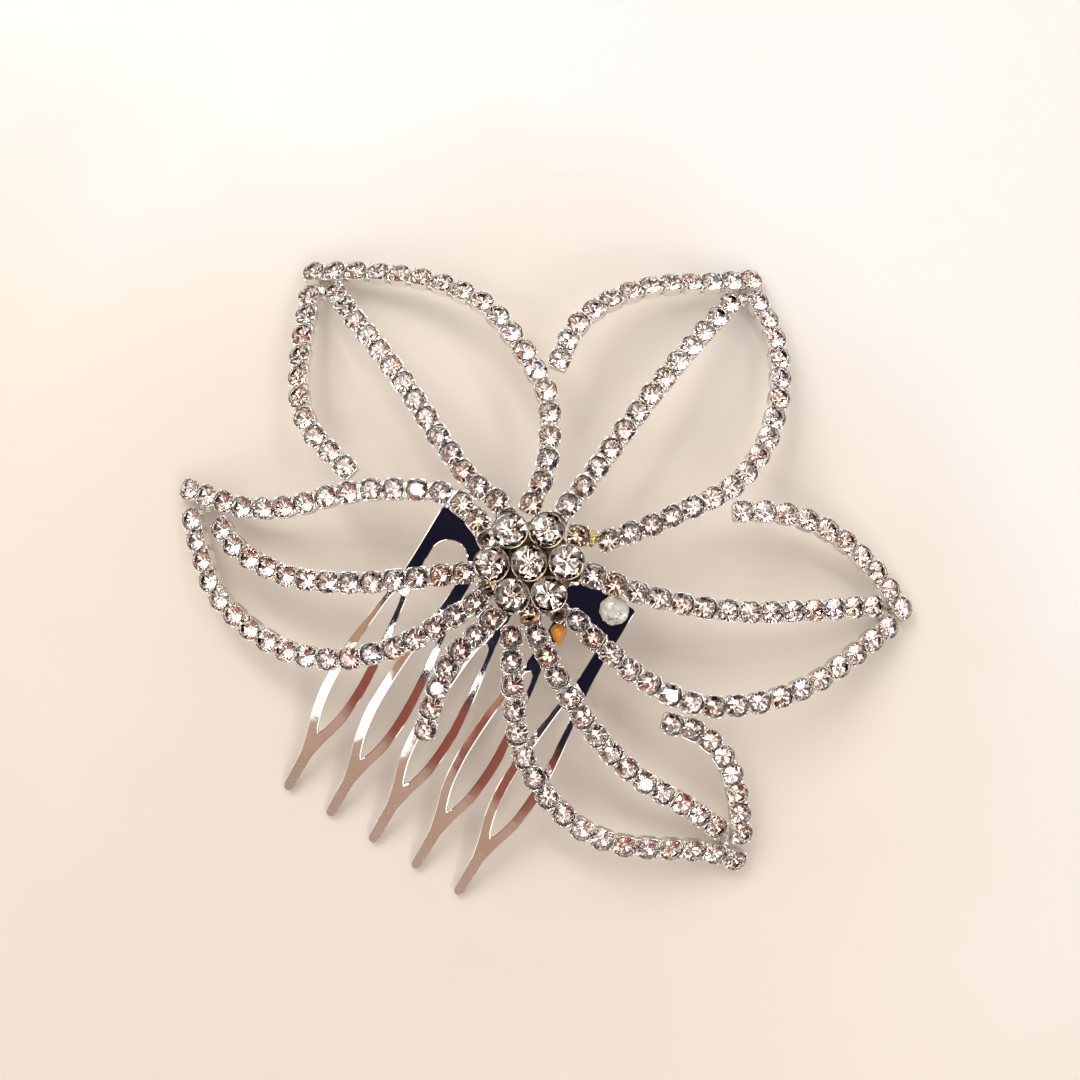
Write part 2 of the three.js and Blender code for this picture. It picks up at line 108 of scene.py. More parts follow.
# ---- node helpers --------------------------------------------------------------------------------------
class Shader:
    """A material with one Principled shader, and short calls for the nodes that feed it."""

    def __init__(self, name, **sockets):
        self.material = bpy.data.materials.new(name)
        self.material.use_nodes = True
        self.tree = self.material.node_tree
        self.shader = self.tree.nodes["Principled BSDF"]
        for socket, value in sockets.items():
            self.shader.inputs[socket.replace("_", " ")].default_value = value
        self.place = self.node("ShaderNodeTexCoord").outputs["Object"]

    def node(self, kind, **values):
        made = self.tree.nodes.new(kind)
        for name, value in values.items():
            setattr(made, name, value)
        return made

    def link(self, source, target):
        self.tree.links.new(source, target)

    def noise(self, scale, detail=3.0, roughness=0.55, distortion=0.0, place=None):
        made = self.node("ShaderNodeTexNoise")
        self.link(place or self.place, made.inputs["Vector"])
        made.inputs["Scale"].default_value = scale
        made.inputs["Detail"].default_value = detail
        made.inputs["Roughness"].default_value = roughness
        made.inputs["Distortion"].default_value = distortion
        return made.outputs["Fac"]

    def per_island(self):
        return self.node("ShaderNodeNewGeometry").outputs["Random Per Island"]

    def ramp(self, source, stops):
        made = self.node("ShaderNodeValToRGB")
        self.link(source, made.inputs["Fac"])
        elements = made.color_ramp.elements
        while len(elements) < len(stops):
            elements.new(0.5)
        for element, (position, colour) in zip(elements, stops):
            element.position = position
            element.color = (*colour, 1.0)
        return made.outputs["Color"]

    def range(self, source, low, high, start=0.0, end=1.0):
        made = self.node("ShaderNodeMapRange")
        self.link(source, made.inputs["Value"])
        made.inputs["From Min"].default_value = start
        made.inputs["From Max"].default_value = end
        made.inputs["To Min"].default_value = low
        made.inputs["To Max"].default_value = high
        return made.outputs["Result"]

    def mix(self, share, first, second):
        made = self.node("ShaderNodeMix", data_type="RGBA")
        sockets = made.inputs[0], made.inputs[6], made.inputs[7]
        for socket, value in zip(sockets, (share, first, second)):
            if isinstance(value, bpy.types.NodeSocket):
                self.link(value, socket)
            elif isinstance(value, tuple):
                socket.default_value = (*value, 1.0)
            else:
                socket.default_value = value
        return made.outputs[2]

    def maths(self, operation, first, second):
        made = self.node("ShaderNodeMath", operation=operation)
        for socket, value in zip(made.inputs, (first, second)):
            if isinstance(value, bpy.types.NodeSocket):
                self.link(value, socket)
            else:
                socket.default_value = value
        return made.outputs[0]

    def colour(self, source):
        self.link(source, self.shader.inputs["Base Color"])

    def rough(self, source):
        self.link(source, self.shader.inputs["Roughness"])

    def bump(self, height, strength, distance):
        made = self.node("ShaderNodeBump")
        made.inputs["Strength"].default_value = strength
        made.inputs["Distance"].default_value = distance
        self.link(height, made.inputs["Height"])
        self.link(made.outputs["Normal"], self.shader.inputs["Normal"])


# ---- materials -----------------------------------------------------------------------------------------
def cup_silver():
    """Bright plating over stamped brass: cloudy in places, and slightly gold where it is thin."""
    s = Shader("cup_silver", Metallic=1.0)
    cloud = s.noise(900, 3)
    tints = [
        (0.3, (0.93, 0.92, 0.90)),
        (0.62, (0.90, 0.88, 0.84)),
        (0.78, (0.86, 0.77, 0.60)),
    ]
    tint = s.ramp(s.noise(260, 2), tints)
    s.colour(s.mix(s.range(cloud, 0.0, 0.25), tint, (0.78, 0.76, 0.73)))
    s.rough(s.range(cloud, 0.08, 0.24, 0.3, 0.7))
    s.bump(s.noise(2600, 2), 0.12, 0.00005)
    return s.material


def link_brass():
    """The folded strips between cups, where the plating is thin and greenish gold."""
    s = Shader("link_plating", Metallic=1.0)
    cloud = s.noise(800, 3)
    tints = [
        (0.3, (0.50, 0.46, 0.34)),
        (0.55, (0.70, 0.67, 0.56)),
        (0.75, (0.82, 0.80, 0.73)),
    ]
    s.colour(s.ramp(cloud, tints))
    s.rough(s.range(cloud, 0.12, 0.3, 0.3, 0.7))
    return s.material


def bezel_silver():
    """The round settings: the same plating, much darker and warmer, as if lightly tarnished."""
    s = Shader("bezel_silver", Metallic=1.0)
    cloud = s.noise(700, 3)
    tints = [
        (0.3, (0.25, 0.19, 0.13)),
        (0.55, (0.38, 0.31, 0.23)),
        (0.75, (0.52, 0.45, 0.36)),
    ]
    s.colour(s.ramp(cloud, tints))
    s.rough(s.range(cloud, 0.12, 0.30, 0.3, 0.7))
    s.bump(s.noise(1800, 3), 0.15, 0.00005)
    return s.material


def comb_steel():
    """Mirror-bright sheet with fine polishing lines along the teeth, dull and speckled at the tips."""
    s = Shader("comb_steel", Metallic=1.0)
    low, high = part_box("comb")
    along = s.node("ShaderNodeSeparateXYZ")
    s.link(s.place, along.inputs[0])
    tips = s.range(along.outputs["Y"], 1.0, 0.0, low[1] + 2 * MM, low[1] + 11 * MM)
    stretched = s.node("ShaderNodeMapping")
    stretched.inputs["Scale"].default_value = (3000, 90, 3000)
    s.link(s.place, stretched.inputs["Vector"])
    lines = s.noise(1.0, 2, place=stretched.outputs["Vector"])
    speckle = s.noise(1500, 4, 0.7)
    worn = s.mix(tips, s.range(lines, 0.03, 0.09), s.range(speckle, 0.10, 0.42, 0.3, 0.7))
    s.rough(worn)
    patches = s.ramp(s.noise(120, 3), [(0.35, (0.88, 0.84, 0.81)), (0.7, (0.80, 0.74, 0.70))])
    dull = s.maths("MULTIPLY", tips, s.range(speckle, 0.0, 0.8, 0.35, 0.65))
    s.colour(s.mix(dull, patches, (0.62, 0.52, 0.46)))
    s.bump(s.mix(tips, s.range(lines, 0.45, 0.55), speckle), 0.10, 0.00006)
    return s.material


def solder():
    """Soft solder: satin grey, with a fine grain."""
    s = Shader("solder", Metallic=1.0)
    grain = s.noise(1100, 4, 0.65)
    tints = [
        (0.3, (0.36, 0.31, 0.25)),
        (0.5, (0.55, 0.51, 0.46)),
        (0.75, (0.70, 0.67, 0.62)),
    ]
    s.colour(s.ramp(grain, tints))
    s.rough(s.range(grain, 0.2, 0.45, 0.3, 0.7))
    s.bump(grain, 0.5, 0.00012)
    return s.material


def solder_with_painted_shade():
    """The solder under the large stones, coloured near-black brown: partly the solder's own dark colour,
    partly painted shade for the dark gaps between the round settings and the strips.
    """
    s = Shader("dark_solder_painted_shade", Metallic=0.85)
    grain = s.noise(700, 4, 0.65)
    # painted shade: these near-black browns darken the solder where it shows in the gaps under and between
    # the settings
    tints = [
        (0.3, (0.05, 0.025, 0.015)),
        (0.55, (0.12, 0.07, 0.04)),
        (0.78, (0.25, 0.18, 0.12)),
    ]
    s.colour(s.ramp(grain, tints))
    s.rough(s.range(grain, 0.25, 0.5, 0.3, 0.7))
    s.bump(grain, 0.5, 0.00012)
    return s.material


def brass():
    """Bare brass-coloured metal, cloudy and slightly rough."""
    s = Shader("bare_brass", Metallic=1.0)
    grain = s.noise(900, 3)
    tints = [
        (0.3, (0.52, 0.38, 0.14)),
        (0.55, (0.74, 0.62, 0.30)),
        (0.75, (0.88, 0.82, 0.60)),
    ]
    s.colour(s.ramp(grain, tints))
    s.rough(s.range(grain, 0.15, 0.35, 0.3, 0.7))
    s.bump(grain, 0.4, 0.0001)
    return s.material


def crystal():
    """The front of a stone: clear glass, very slightly different from stone to stone."""
    s = Shader("crystal_glass", Transmission_Weight=1.0, IOR=1.56)
    tints = [
        (0.0, (1.0, 0.95, 0.93)),
        (0.5, (1.0, 0.99, 0.98)),
        (1.0, (0.96, 0.96, 1.0)),
    ]
    s.colour(s.ramp(s.per_island(), tints))
    s.rough(s.range(s.noise(500, 2), 0.0, 0.02, 0.4, 0.7))
    return s.material


def foil():
    """The mirror foil on the back of a stone. Towards the hub, inside about 17 mm, it turns golden: a
    painted reflection of the warm parts round the hub.
    """
    s = Shader("foil_back", Metallic=1.0)
    tints = [
        (0.0, (0.87, 0.71, 0.66)),
        (0.3, (0.92, 0.83, 0.79)),
        (0.55, (0.87, 0.82, 0.84)),
        (0.8, (0.89, 0.78, 0.68)),
        (1.0, (0.94, 0.89, 0.85)),
    ]
    # painted reflection: the foil turns golden towards the hub, standing in for the warm parts the stones
    # mirror there
    reach = s.node("ShaderNodeVectorMath", operation="DISTANCE")
    s.link(s.place, reach.inputs[0])
    reach.inputs[1].default_value = HUB
    hub_reflection_share = s.range(reach.outputs["Value"], 0.6, 0.0, 9 * MM, 17 * MM)
    hub_reflection_tints = [
        (0.0, (0.82, 0.60, 0.42)),
        (0.5, (0.90, 0.76, 0.62)),
        (1.0, (0.93, 0.88, 0.82)),
    ]
    warm = s.ramp(s.per_island(), hub_reflection_tints)
    s.colour(s.mix(hub_reflection_share, s.ramp(s.per_island(), tints), warm))
    s.rough(s.range(s.noise(800, 3), 0.02, 0.07, 0.35, 0.7))
    return s.material


def gem_foil():
    """The backs of the large stones, which are cleaner and more silvery than the small ones."""
    s = Shader("gem_foil_back", Metallic=1.0)
    tints = [
        (0.0, (0.86, 0.78, 0.71)),
        (0.5, (0.91, 0.86, 0.81)),
        (1.0, (0.86, 0.85, 0.86)),
    ]
    s.colour(s.ramp(s.per_island(), tints))
    s.rough(s.range(s.noise(800, 3), 0.02, 0.07, 0.35, 0.7))
    return s.material


def amber():
    """Glossy amber, with darker swirls."""
    s = Shader("amber_bead", Transmission_Weight=0.15, IOR=1.5, Coat_Weight=0.6, Coat_Roughness=0.05)
    swirl = s.noise(420, 3, distortion=0.8)
    tints = [
        (0.3, (0.42, 0.14, 0.005)),
        (0.55, (0.62, 0.25, 0.008)),
        (0.8, (0.80, 0.40, 0.03)),
    ]
    s.colour(s.ramp(swirl, tints))
    s.rough(s.range(swirl, 0.08, 0.2))
    return s.material


def glue():
    """Clear glue that has set unevenly. Its colour runs in swirls from grey to white: the white is partly
    milky glue and partly painted highlight for the dab's bright glassy shine.
    """
    s = Shader("clear_glue", Transmission_Weight=0.6, IOR=1.47, Coat_Weight=1.0, Coat_Roughness=0.02)
    swirl = s.noise(520, 3, distortion=1.2)
    # painted highlight, in part: the white stops stand in for the dab's bright shine
    tints = [
        (0.38, (0.42, 0.41, 0.34)),
        (0.45, (0.90, 0.90, 0.78)),
        (0.6, (1.0, 1.0, 0.98)),
    ]
    s.colour(s.ramp(swirl, tints))
    s.rough(s.range(swirl, 0.02, 0.15))
    s.bump(s.noise(700, 2), 0.5, 0.0003)
    return s.material


MATERIALS = {
    "cup": cup_silver(),
    "link": link_brass(),
    "bezel": bezel_silver(),
    "comb": comb_steel(),
    "solder": solder(),
    "solder_with_painted_shade": solder_with_painted_shade(),
    "brass": brass(),
    "crystal": crystal(),
    "foil": foil(),
    "gem_foil": gem_foil(),
    "amber": amber(),
    "glue": glue(),
}


# ---- pieces --------------------------------------------------------------------------------------------
def piece(name, bm, materials, nodes, smooth_angle=None):
    """Turns a bmesh into a finished piece that rides on the frame and stands for CAD nodes."""
    bmesh.ops.recalc_face_normals(bm, faces=bm.faces)
    mesh = bpy.data.meshes.new(name)
    bm.to_mesh(mesh)
    bm.free()
    for key in materials:
        mesh.materials.append(MATERIALS[key])
    if smooth_angle is not None:
        mesh.shade_smooth()
        mesh.set_sharp_from_angle(angle=math.radians(smooth_angle))
    made = bpy.data.objects.new(name, mesh)
    bpy.context.scene.collection.objects.link(made)
    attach(made, "root")
    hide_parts(*nodes)


def skin(bm, rings, material=0):
    """Joins rings of points into a skin, and closes its two ends with fans."""
    made = [[bm.verts.new(p) for p in ring] for ring in rings]
    sides = len(made[0])
    for a, b in zip(made, made[1:]):
        for i in range(sides):
            j = (i + 1) % sides
            bm.faces.new((a[i], a[j], b[j], b[i])).material_index = material
    for ring in (made[0], made[-1]):
        middle = bm.verts.new(sum((v.co for v in ring), Vector()) / sides)
        for i in range(sides):
            bm.faces.new((ring[i], ring[(i + 1) % sides], middle)).material_index = material


def turn(bm, matrix, profile, sides):
    """A body turned from a profile of [radius, height] that starts and ends near the axis."""
    rings = []
    for radius, height in profile:
        ring = []
        for i in range(sides):
            a = 2 * math.pi * i / sides
            ring.append(matrix @ Vector((radius * math.cos(a), radius * math.sin(a), height)))
        rings.append(ring)
    skin(bm, rings)


# ---- seats: where the frame's rows of stones have their stones -----------------------------------------
def table_points(node):
    """The middle and the normal of each stone's flat top."""
    bm = bmesh.new()
    bm.from_mesh(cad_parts[node].data)
    bmesh.ops.remove_doubles(bm, verts=bm.verts, dist=SAME_POINT * MM)
    bm.normal_update()
    found = []
    for v in bm.verts:
        normals = [f.normal for f in v.link_faces]
        if len(normals) >= 4 and min(a.dot(b) for a in normals for b in normals) > FLAT_COSINE:
            found.append((v.co.copy(), v.normal.copy()))
    bm.free()
    return found


def in_order(points):
    """Sorts a row's seats from one end to the other."""
    near = [[q for q in points if q is not p and (q[0] - p[0]).length < NEIGHBOUR * MM] for p in points]
    ends = [p for p, around in zip(points, near) if len(around) == 1]
    if not ends:
        return points
    ends.sort(key=lambda p: (round(p[0].x, 4), round(p[0].y, 4)))
    row = [ends[0]]
    left = [p for p in points if p is not row[0]]
    while left:
        following = min(left, key=lambda p: (p[0] - row[-1][0]).length)
        row.append(following)
        left.remove(following)
    return row


def seats(node, below, turned_to=None):
    """Matrices of a row's cups, in mm: origin under the cup, X along the row, Z out of the stone."""
    row = in_order(table_points(node))
    made = []
    for i, (point, up) in enumerate(row):
        ahead = row[min(i + 1, len(row) - 1)][0]
        behind = row[max(i - 1, 0)][0]
        run = ahead - behind if len(row) > 1 else turned_to
        run = (run - up * run.dot(up)).normalized()
        side = up.cross(run)
        turn_matrix = Matrix((run, side, up)).transposed().to_4x4()
        foot = point - up * (below * MM)
        made.append(Matrix.Translation(foot) @ turn_matrix @ Matrix.Scale(MM, 4))
    return made


def jiggled(matrix, rng, tilt):
    """The small errors of a hand-set cup or stone, with its largest tilt in degrees."""
    along, across, up = (rng.uniform(-HAND_SHIFT, HAND_SHIFT) for _ in range(3))
    move = Vector((along, across, up * 0.5))
    tip = Matrix.Rotation(math.radians(rng.uniform(-tilt, tilt)), 4, "X")
    roll = Matrix.Rotation(math.radians(rng.uniform(-tilt, tilt)), 4, "Y")
    return matrix @ Matrix.Translation(move) @ tip @ roll


# ---- cups and crystals ---------------------------------------------------------------------------------
def rounded_square(half_x, half_y, points, power=CORNER_POWER):
    """A ring of points, square with round corners."""
    ring = []
    for i in range(points):
        a = 2 * math.pi * i / points
        x, y = (math.copysign(abs(side) ** power, side) for side in (math.cos(a), math.sin(a)))
        ring.append((x * half_x, y * half_y))
    return ring


def prong_share(i, points):
    """1 in the middle of each corner's prong, 0 along the open sides."""
    return max(0.0, -math.cos(4 * 2 * math.pi * i / points)) ** PRONG_POWER


def add_cup(bm, matrix):
    """One square cup with a rounded floor and four corner prongs bent in over the stone."""
    shrink = CUP_HALF_SIDE / CUP_HALF_RUN
    rings = []
    profile = [  # half width, height, share of the prong's rise, share of the prong's lean inwards
        (1.20, 0.0, 0.0, 0.0),
        (1.42, 0.05, 0.0, 0.0),
        (1.49, 0.2, 0.0, 0.0),
        (1.53, 1.25, 0.0, 0.0),
        (CUP_HALF_RUN - 0.03, 1.5, 0.1, 0.0),
        (CUP_HALF_RUN, CUP_WALL_TOP, 0.45, 0.0),
        (CUP_HALF_RUN, CUP_WALL_TOP + 0.02, 0.9, 0.22),
        (CUP_HALF_RUN - 0.1, CUP_WALL_TOP + 0.04, 1.0, 0.34),
        (CUP_HALF_RUN - 0.18, CUP_WALL_TOP, 0.85, 0.32),
        (1.44, CUP_WALL_TOP - 0.1, 0.4, 0.1),
        (1.34, 1.2, 0.0, 0.0),
        (0.95, 0.4, 0.0, 0.0),
    ]
    for half, height, rise, lean in profile:
        ring = []
        for i, (x, y) in enumerate(rounded_square(half, half * shrink, CUP_POINTS)):
            p = prong_share(i, CUP_POINTS)
            pull = 1 - lean * p * 0.5
            ring.append(matrix @ Vector((x * pull, y * pull, height + rise * p * PRONG_RISE)))
        rings.append(ring)
    skin(bm, rings)


def add_link(bm, first, second):
    """The folded strip that joins two cups."""
    reach = CUP_HALF_RUN - LINK_OVERLAP
    rings = []
    start = first @ Vector((reach, 0, LINK_MIDDLE))
    end = second @ Vector((-reach, 0, LINK_MIDDLE))
    for share in (0.0, 0.5, 1.0):
        at = start.lerp(end, share)
        axes = first if share < 0.5 else second
        side = (axes.to_3x3() @ Vector((0, 1, 0))) * LINK_HALF_SIDE
        up = (axes.to_3x3() @ Vector((0, 0, 1))) * LINK_HALF_HEIGHT
        section = rounded_square(1.0, 1.0, LINK_POINTS, LINK_CORNER_POWER)
        rings.append([at + side * x + up * z for x, z in section])
    skin(bm, rings, material=1)


def add_crystal(bm, matrix, size, rng, rays=False):
    """A brilliant-cut stone: a glass front with a flat table and 24 facets, and a pointed foil back.

    With rays, the back is folded into long narrow facets that run out from its middle.
    """
    radius, table, girdle, culet, top = size
    spin = Matrix.Rotation(rng.uniform(0, 2 * math.pi), 4, "Z")
    local = matrix @ spin
    n = CRYSTAL_SIDES
    edge = EDGE_SHARE * radius

    def ring(count, r, z, offset=0.0, wobble=0.0):
        points = []
        for i in range(count):
            a = 2 * math.pi * (i + offset) / count
            rr = r * (1 + rng.uniform(-wobble, wobble))
            points.append(bm.verts.new(local @ Vector((rr * math.cos(a), rr * math.sin(a), z))))
        return points

    tables = ring(n, table, top, 0.0, 0.02)
    upper = ring(2 * n, radius, girdle + edge)
    lower = ring(2 * n, radius, girdle - edge)
    off = 0.04 * radius
    tip = bm.verts.new(local @ Vector((rng.uniform(-off, off), rng.uniform(-off, off), culet)))
    front, back = 0, 1

    def face(material, *verts):
        bm.faces.new(verts).material_index = material

    face(front, *tables)
    for i in range(n):
        t0, t1 = tables[i], tables[(i + 1) % n]
        g0, g1, g2 = upper[2 * i], upper[2 * i + 1], upper[(2 * i + 2) % (2 * n)]
        face(front, t0, g1, t1)
        face(front, t0, g0, g1)
        face(front, t1, g1, g2)
        h0, h1, h2 = lower[2 * i], lower[2 * i + 1], lower[(2 * i + 2) % (2 * n)]
        if not rays:
            face(back, tip, h1, h0)
            face(back, tip, h2, h1)
    for i in range(2 * n):
        j = (i + 1) % (2 * n)
        face(front, upper[i], lower[i], lower[j], upper[j])
    if not rays:
        return
    outer, inner = [], []
    ray_ends = (outer, RAY_OUTER, girdle - edge - 0.06), (inner, RAY_INNER, culet + 0.3)
    for i in range(2 * n):
        a = 2 * math.pi * (i + rng.uniform(-0.16, 0.16)) / (2 * n)
        for ring_verts, share, height in ray_ends:
            z = height - RAY_FOLD * (i % 2) * share + rng.uniform(-0.05, 0.05)
            r = radius * share
            ring_verts.append(bm.verts.new(local @ Vector((r * math.cos(a), r * math.sin(a), z))))
    for i in range(2 * n):
        j = (i + 1) % (2 * n)
        face(back, lower[i], outer[i], outer[j])
        face(back, lower[i], outer[j], lower[j])
        face(back, outer[i], inner[i], inner[j])
        face(back, outer[i], inner[j], outer[j])
        face(back, tip, inner[j], inner[i])


SMALL = (CRYSTAL_RADIUS, CRYSTAL_TABLE, GIRDLE_HEIGHT, CULET_HEIGHT, TABLE_ABOVE_CUP)
LARGE = (GEM_RADIUS, GEM_TABLE, GEM_GIRDLE, GEM_CULET, GEM_TOP)


def chain(name):
    """One strip of cup chain: its cups with their links, and its crystals."""
    cups, stones = f"{name}_cups", f"{name}_stones"
    rng = random.Random(name)
    places = [jiggled(seat, rng, tilt=1.2) for seat in seats(stones, TABLE_ABOVE_CUP)]
    bm = bmesh.new()
    for place in places:
        add_cup(bm, place)
    for first, second in zip(places, places[1:]):
        add_link(bm, first, second)
    piece(f"{name}_chain", bm, ["cup", "link"], [cups], smooth_angle=42)
    bm = bmesh.new()
    for place in places:
        add_crystal(bm, jiggled(place, rng, STONE_TILT), SMALL, rng)
    piece(f"{name}_crystals", bm, ["crystal", "foil"], [stones])


def lone_cup():
    """The single cup, turned towards the brass lump that holds it."""
    [(point, _)] = table_points("hub_cup_stone")
    towards = middle_of("brass_link") - point
    rng = random.Random("hub_cup")
    [place] = seats("hub_cup_stone", TABLE_ABOVE_CUP, towards)
    bm = bmesh.new()
    add_cup(bm, place)
    piece("hub_cup_setting", bm, ["cup"], ["hub_cup"], smooth_angle=42)
    bm = bmesh.new()
    add_crystal(bm, jiggled(place, rng, STONE_TILT), SMALL, rng)
    piece("hub_cup_crystal", bm, ["crystal", "foil"], ["hub_cup_stone"])


def cluster():
    """The seven large stones in their round settings."""
    rim = [
        (0.02, 0.0), (1.5, 0.0), (2.0, 0.12), (2.25, 0.6), (BEZEL_RADIUS - 0.06, 2.3), (BEZEL_RADIUS, 2.8),
        (BEZEL_RADIUS - 0.02, BEZEL_HEIGHT - 0.04), (BEZEL_RADIUS - 0.08, BEZEL_HEIGHT),
        (BEZEL_RADIUS - 0.16, BEZEL_HEIGHT - 0.02), (BEZEL_RADIUS - 0.20, BEZEL_HEIGHT - 0.12),
        (BEZEL_RADIUS - 0.22, 2.7), (1.9, 1.4), (0.02, 0.7),
    ]
    for number in range(1, 8):
        rng = random.Random(100 + number)
        stone = f"centre_stone_{number}"
        [place] = seats(stone, TABLE_ABOVE_BEZEL, Vector((1, 0, 0)))
        place = jiggled(place, rng, tilt=2.2)
        bm = bmesh.new()
        turn(bm, place, rim, sides=64)
        bezel = f"centre_bezel_{number}"
        piece(f"centre_setting_{number}", bm, ["bezel"], [bezel], smooth_angle=40)
        bm = bmesh.new()
        add_crystal(bm, place, LARGE, rng, rays=True)
        piece(f"centre_crystal_{number}", bm, ["crystal", "gem_foil"], [stone])


STRIPS = [node[: -len("_cups")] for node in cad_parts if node.endswith("_cups")]
for strip_name in STRIPS:
    chain(strip_name)
lone_cup()
cluster()


# ---- the comb ------------------------------------------------------------------------------------------
TEETH = 5
TOOTH_PITCH = 7.75
BAR_HALF = 16.6
BAR_CORNER = 0.6
SHEET = 0.8
ROLLED_EDGE = 0.11  # radius of the plate's rounded edges
TOOTH_CROWN = 0.22  # how far a pressed tooth curves down on both sides, half a pitch from its middle
BEND_POWER = 1.65  # how much faster the teeth fall towards their tips; 1 would be straight
BEND_START = 6.2  # from the bar's top edge to where the teeth begin to bend down
BEND_CUTS = 70  # how many flat lengths make up the teeth's curve
# half widths of a tooth and of its eye, and how far from the bar's top edge each is
TOOTH_SIDE = [
    (1.0, 8.1), (1.12, 13.2), (1.85, 18.7), (2.85, 25.7),
    (3.2, 31.7), (2.75, 37.2), (1.55, 41.7), (0.9, 44.7),
]
EYE_SIDE = [(0.55, 16.5), (0.95, 18.7), (1.52, 25.7), (1.72, 31.7), (1.3, 36.7), (0.4, 40.1)]
EYE_TOP, EYE_BOTTOM = 16.0, 40.7
ARCH_TOP = 5.2  # from the bar's top edge to the arches between the teeth
ARCH_STEPS = 16
STEM_HALF = 1.0  # half a tooth's width beside the arches
TIP_HALF = 0.84
TIP_STEPS = 8


def spline(points, steps):
    """A smooth curve through points, as a list with steps pieces for each stretch."""
    padded = [points[0], *points, points[-1]]
    out = []
    for a, b, c, d in zip(padded, padded[1:], padded[2:], padded[3:]):
        for k in range(steps):
            t = k / steps
            made = []
            for p, q, r, s in zip(a, b, c, d):
                bend = 2 * p - 5 * q + 4 * r - s
                twist = 3 * q - p - 3 * r + s
                made.append(0.5 * (2 * q + (r - p) * t + bend * t**2 + twist * t**3))
            out.append(tuple(made))
    out.append(points[-1])
    return out


def comb():
    """The pressed plate: a flat bar, and five teeth with eyes that bend down to their tips."""
    low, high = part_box("comb")
    width, length = (high.x - low.x) / MM, (high.y - low.y) / MM
    middle_x, top_y = (low.x + high.x) / 2 / MM, high.y / MM
    bar_z, tip_z = high.z / MM, low.z / MM
    drop = bar_z - SHEET - tip_z
    tooth_x = [middle_x + (i - (TEETH - 1) / 2) * TOOTH_PITCH for i in range(TEETH)]

    end_x, cut = middle_x - BAR_HALF, BAR_CORNER * 0.3
    outline = [(end_x, BAR_CORNER), (end_x + cut, cut), (end_x + BAR_CORNER, 0)]
    outline += [(2 * middle_x - x, d) for x, d in reversed(outline)]
    side = spline(TOOTH_SIDE, 5)
    for i in reversed(range(TEETH)):
        outline += [(tooth_x[i] + half, d) for half, d in side]
        for k in range(TIP_STEPS + 1):
            a = math.pi * k / TIP_STEPS
            across, down = TIP_HALF * math.cos(a), TIP_HALF * math.sin(a)
            outline.append((tooth_x[i] + across, length - TIP_HALF + down))
        outline += [(tooth_x[i] - half, d) for half, d in reversed(side)]
        if i:
            radius = TOOTH_PITCH / 2 - STEM_HALF
            for k in range(1, ARCH_STEPS):
                a = math.pi * k / ARCH_STEPS
                x = (tooth_x[i] + tooth_x[i - 1]) / 2 + radius * math.cos(a)
                outline.append((x, ARCH_TOP + radius - radius * math.sin(a)))
    eye = spline(EYE_SIDE, 5)
    eyes = []
    for x in tooth_x:
        right = [(x + half, d) for half, d in eye]
        left = [(x - half, d) for half, d in reversed(eye)]
        eyes.append([(x, EYE_TOP), *right, (x, EYE_BOTTOM), *left])

    curve = bpy.data.curves.new("comb_outline", "CURVE")
    curve.dimensions = "2D"
    curve.fill_mode = "BOTH"
    curve.extrude = (SHEET / 2 - ROLLED_EDGE) * MM
    curve.bevel_depth = ROLLED_EDGE * MM
    curve.bevel_resolution = 1
    curve.offset = -ROLLED_EDGE * MM
    for loop in [outline, *eyes]:
        line = curve.splines.new("POLY")
        line.points.add(len(loop) - 1)
        for point, (x, d) in zip(line.points, loop):
            point.co = (x * MM, (top_y - d) * MM, 0, 1)
        line.use_cyclic_u = True
    flat = bpy.data.objects.new("comb_outline", curve)
    bpy.context.scene.collection.objects.link(flat)
    mesh = bpy.data.meshes.new_from_object(flat.evaluated_get(bpy.context.evaluated_depsgraph_get()))
    bpy.data.objects.remove(flat)
    bm = bmesh.new()
    bm.from_mesh(mesh)
    bpy.data.meshes.remove(mesh)
    bmesh.ops.remove_doubles(bm, verts=bm.verts, dist=0.004 * MM)
    for k in range(BEND_CUTS):
        y = (top_y - BEND_START - (length - BEND_START) * k / BEND_CUTS) * MM
        everything = bm.verts[:] + bm.edges[:] + bm.faces[:]
        bmesh.ops.bisect_plane(bm, geom=everything, plane_co=(0, y, 0), plane_no=(0, 1, 0), dist=1e-7)
    for v in bm.verts:
        beyond = max(0.0, (top_y - BEND_START) - v.co.y / MM) / (length - BEND_START)
        slope = drop * BEND_POWER / (length - BEND_START) * beyond ** (BEND_POWER - 1)
        lean = math.atan(slope)
        across = v.co.z
        off_axis = min(abs(v.co.x / MM - x) for x in tooth_x) / (TOOTH_PITCH / 2)
        crown = TOOTH_CROWN * min(1.0, beyond * 4) * off_axis**2
        v.co.z = (bar_z - SHEET / 2 - drop * beyond**BEND_POWER - crown) * MM + across * math.cos(lean)
        v.co.y -= across * math.sin(lean)
    piece("comb_plate", bm, ["comb"], ["comb"], smooth_angle=18)


comb()


# ---- solder, brass, amber and glue ---------------------------------------------------------------------
def lump(name, node, material, roundness, uneven, grow=1.0, stretch=Vector()):
    """A soft lump in a node's box, with an uneven skin and a flat foot.

    A roundness of 2 is an ellipsoid, and a higher one is boxier. stretch draws the lump out, both ways.
    """
    low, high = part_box(node)
    middle, half = (low + high) / 2, (high - low) / 2 * grow
    bm = bmesh.new()
    bmesh.ops.create_icosphere(bm, subdivisions=4, radius=1.0)
    seed = Vector((len(name), 26.0, 3.0))
    for v in bm.verts:
        d = v.co.normalized()
        r = (abs(d.x) ** roundness + abs(d.y) ** roundness + abs(d.z) ** roundness) ** (-1 / roundness)
        r *= 1 - uneven + uneven * noise.noise(d * 2.4 + seed)
        filled = Vector((d.x * half.x, d.y * half.y, d.z * half.z)) * r
        v.co = middle + filled + stretch * (d.dot(stretch) * MM)
        v.co.z = max(v.co.z, low.z)
    piece(name, bm, [material], [node], smooth_angle=60)


